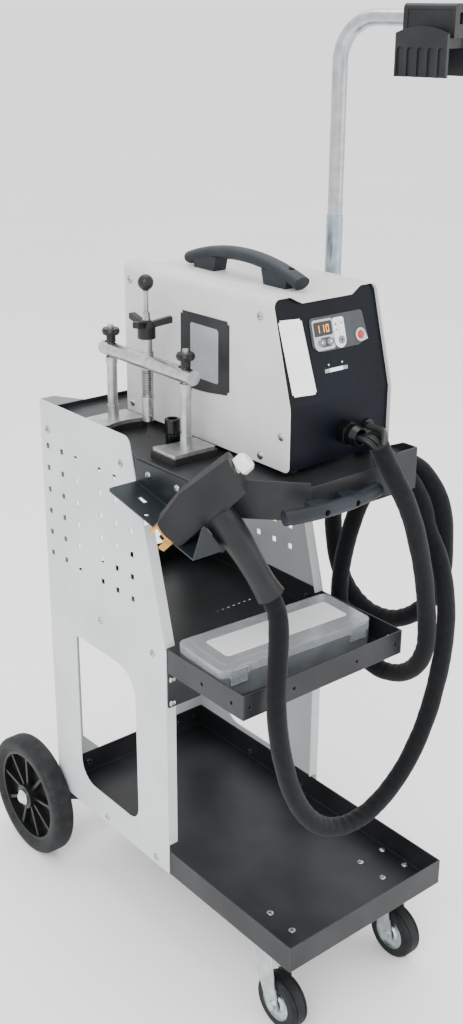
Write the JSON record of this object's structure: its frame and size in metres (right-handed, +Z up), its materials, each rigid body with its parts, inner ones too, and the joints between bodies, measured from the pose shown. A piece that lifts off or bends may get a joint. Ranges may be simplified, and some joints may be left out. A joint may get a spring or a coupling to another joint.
{
  "type": "dent pulling spot welder",
  "caption": "Spot welder for pulling dents on a tray trolley, with weld gun and hose, bridge puller, organiser box and cable mast.",
  "frame": {"origin": "on the floor, under the middle of the object's box without its hose", "axes": "+Z up, -Y towards the trolley's front, +X to the right of someone facing the way -Y is behind them: the mast's side"},
  "size_m": [0.445, 0.711, 1.321],
  "materials": {
    "panel_powder_coat": "fine powder coat, light cool grey",
    "tray_powder_coat": "satin dark grey powder coat",
    "zinc_plate": "zinc plated",
    "cover_powder_coat": "fine powder coat, warm light grey",
    "front_paint": "satin navy black",
    "black_rubber": "moulded rubber",
    "tyre_rubber": "solid rubber tyre",
    "black_plastic": "moulded, matte",
    "handle_plastic": "moulded, dark blue grey",
    "gun_plastic": "moulded, charcoal",
    "white_plastic": "moulded white",
    "clear_plastic": "frosted clear",
    "membrane": "printed membrane",
    "key_plastic": "soft key",
    "red_plastic": "moulded red",
    "display_glass": "dark display window",
    "brass": "turned brass",
    "cast_aluminium": "cast and brushed",
    "bright_steel": "turned steel",
    "tube_steel": "zinc plated tube",
    "hose_fabric": "woven black sleeve",
    "cable_sheath": "cable sheath",
    "capacitor_can": "sleeved cans",
    "board": "circuit board"
  },
  "bodies": {
    "root": {"bottom_tray": "tray_powder_coat", "middle_tray": "tray_powder_coat", "top_tray": "tray_powder_coat", "left_side_panel": "panel_powder_coat", "right_side_panel": "panel_powder_coat", "undercarriage": "zinc_plate", "rear_axle": "zinc_plate", "gun_holder": "tray_powder_coat", "hose_hook": "tray_powder_coat", "gun_left_shell": "gun_plastic", "gun_right_shell": "gun_plastic", "gun_contacts": "brass", "welder_cover": "cover_powder_coat", "welder_chassis": "front_paint", "welder_feet": "black_rubber", "control_panel": "membrane", "display_window": "display_glass", "welder_handle": "handle_plastic", "front_handle": "handle_plastic", "cable_glands": "black_plastic", "switch_housing": "black_plastic", "fan_frame": "black_plastic", "capacitor_bank": "capacitor_can", "electronics": "board", "mast_lower_tube": "tube_steel", "puller_crossbar": "bright_steel", "puller_spring": "bright_steel", "spare_cup": "black_rubber", "organiser_base": "clear_plastic", "hose": "hose_fabric", "cable_tails": "cable_sheath", "fasteners": "zinc_plate"},
    "left_rear_wheel": {"rear_tyre_left": "tyre_rubber", "rear_hub_left": "black_plastic"},
    "right_rear_wheel": {"rear_tyre_right": "tyre_rubber", "rear_hub_right": "black_plastic"},
    "left_castor_fork": {"castor_fork_left": "zinc_plate"},
    "right_castor_fork": {"castor_fork_right": "zinc_plate"},
    "left_castor_wheel": {"castor_wheel_left": "black_rubber"},
    "right_castor_wheel": {"castor_wheel_right": "black_rubber"},
    "mast_arm": {"mast_upper_tube": "tube_steel", "cable_saddle": "black_plastic"},
    "lid": {"organiser_lid": "clear_plastic"},
    "latch_left": {"left_latch": "clear_plastic"},
    "latch_right": {"right_latch": "clear_plastic"},
    "front_leg": {"puller_leg_front": "cast_aluminium"},
    "rear_leg": {"puller_leg_rear": "cast_aluminium"},
    "front_knob": {"clamp_knob_front": "black_plastic"},
    "rear_knob": {"clamp_knob_rear": "black_plastic"},
    "nut": {"wing_nut": "black_plastic"},
    "spindle": {"puller_spindle": "bright_steel"},
    "key_left": {"left_key": "key_plastic"},
    "key_right": {"right_key": "key_plastic"},
    "select": {"select_button": "key_plastic"},
    "red": {"red_button": "red_plastic"},
    "rocker": {"switch_rocker": "black_plastic"},
    "trigger": {"gun_trigger": "black_plastic"},
    "rear_cap": {"gun_rear_cap": "white_plastic"},
    "fan": {"fan_rotor": "black_plastic"}
  },
  "joints": [
    {"name": "left_rear_wheel_spin", "type": "hinge", "parent": "root", "child": "left_rear_wheel", "pos_m": [-0.16047, 0.2555, 0.1], "axis": [1, 0, 0], "continuous": true},
    {"name": "right_rear_wheel_spin", "type": "hinge", "parent": "root", "child": "right_rear_wheel", "pos_m": [0.13153, 0.2555, 0.1], "axis": [1, 0, 0], "continuous": true},
    {"name": "left_castor_swivel", "type": "hinge", "parent": "root", "child": "left_castor_fork", "pos_m": [-0.12647, -0.2755, 0.138], "axis": [0, 0, 1], "continuous": true},
    {"name": "left_castor_spin", "type": "hinge", "parent": "left_castor_fork", "child": "left_castor_wheel", "pos_m": [-0.12647, -0.3075, 0.04], "axis": [1, 0, 0], "continuous": true},
    {"name": "right_castor_swivel", "type": "hinge", "parent": "root", "child": "right_castor_fork", "pos_m": [0.09753, -0.2755, 0.138], "axis": [0, 0, 1], "continuous": true},
    {"name": "right_castor_spin", "type": "hinge", "parent": "right_castor_fork", "child": "right_castor_wheel", "pos_m": [0.09753, -0.3075, 0.04], "axis": [1, 0, 0], "continuous": true},
    {"name": "mast_swivel", "type": "hinge", "parent": "root", "child": "mast_arm", "pos_m": [0.14403, -0.077, 1.05604], "axis": [0, 0, 1], "range_deg": [-180, 180]},
    {"name": "lid_hinge", "type": "hinge", "parent": "root", "child": "lid", "pos_m": [-0.14701, -0.09727, 0.5055], "axis": [-0.9984, 0.0558, 0], "range_deg": [0, 58]},
    {"name": "left_latch_hinge", "type": "hinge", "parent": "lid", "child": "latch_left", "pos_m": [-0.1381, -0.20664, 0.5155], "axis": [-0.9984, 0.0558, 0], "range_deg": [0, 120]},
    {"name": "right_latch_hinge", "type": "hinge", "parent": "lid", "child": "latch_right", "pos_m": [0.06758, -0.21813, 0.5155], "axis": [-0.9984, 0.0558, 0], "range_deg": [0, 120]},
    {"name": "front_leg_slide", "type": "slide", "parent": "root", "child": "front_leg", "axis": [0, 1, 0], "range_m": [-0.008, 0.004]},
    {"name": "rear_leg_slide", "type": "slide", "parent": "root", "child": "rear_leg", "axis": [0, 1, 0], "range_m": [-0.008, 0.008]},
    {"name": "front_knob_turn", "type": "hinge", "parent": "front_leg", "child": "front_knob", "pos_m": [-0.11047, -0.078, 0.878], "axis": [0, 0, 1], "range_deg": [0, 270]},
    {"name": "rear_knob_turn", "type": "hinge", "parent": "rear_leg", "child": "rear_knob", "pos_m": [-0.11047, 0.089, 0.878], "axis": [0, 0, 1], "range_deg": [0, 270]},
    {"name": "nut_turn", "type": "hinge", "parent": "root", "child": "nut", "pos_m": [-0.11047, 0.0055, 0.878], "axis": [0, 0, 1], "range_deg": [0, 2880]},
    {"name": "spindle_lift", "type": "slide", "parent": "root", "child": "spindle", "axis": [0, 0, 1], "range_m": [0, 0.016], "deforming": ["puller_spring"]},
    {"name": "left_key_press", "type": "slide", "parent": "root", "child": "key_left", "axis": [0, 0.9643, -0.265], "range_m": [0, 0.001], "stiffness_N_per_m": 200, "springref_m": -0.0005},
    {"name": "right_key_press", "type": "slide", "parent": "root", "child": "key_right", "axis": [0, 0.9643, -0.265], "range_m": [0, 0.001], "stiffness_N_per_m": 200, "springref_m": -0.0005},
    {"name": "select_press", "type": "slide", "parent": "root", "child": "select", "axis": [0, 0.9643, -0.265], "range_m": [0, 0.001], "stiffness_N_per_m": 200, "springref_m": -0.0005},
    {"name": "red_press", "type": "slide", "parent": "root", "child": "red", "axis": [0, 0.9643, -0.265], "range_m": [0, 0.001], "stiffness_N_per_m": 200, "springref_m": -0.0005},
    {"name": "rocker_tilt", "type": "hinge", "parent": "root", "child": "rocker", "pos_m": [-0.03047, 0.113, 0.85], "axis": [1, 0, 0], "range_deg": [-16, 0]},
    {"name": "trigger_pull", "type": "slide", "parent": "root", "child": "trigger", "axis": [0.5367, -0.4698, 0.7009], "range_m": [0, 0.004], "stiffness_N_per_m": 300, "springref_m": -0.002},
    {"name": "rear_cap_turn", "type": "hinge", "parent": "root", "child": "rear_cap", "pos_m": [-0.20297, -0.1564, 0.71], "axis": [0.5367, -0.4698, 0.7009], "range_deg": [-180, 180]},
    {"name": "fan_spin", "type": "hinge", "parent": "root", "child": "fan", "pos_m": [0.04753, 0.12, 0.872], "axis": [0, 1, 0], "continuous": true}
  ],
  "couplings": [
    {"joint": "nut_turn", "follows": "spindle_lift", "rad_per_m": 3141.6}
  ]
}
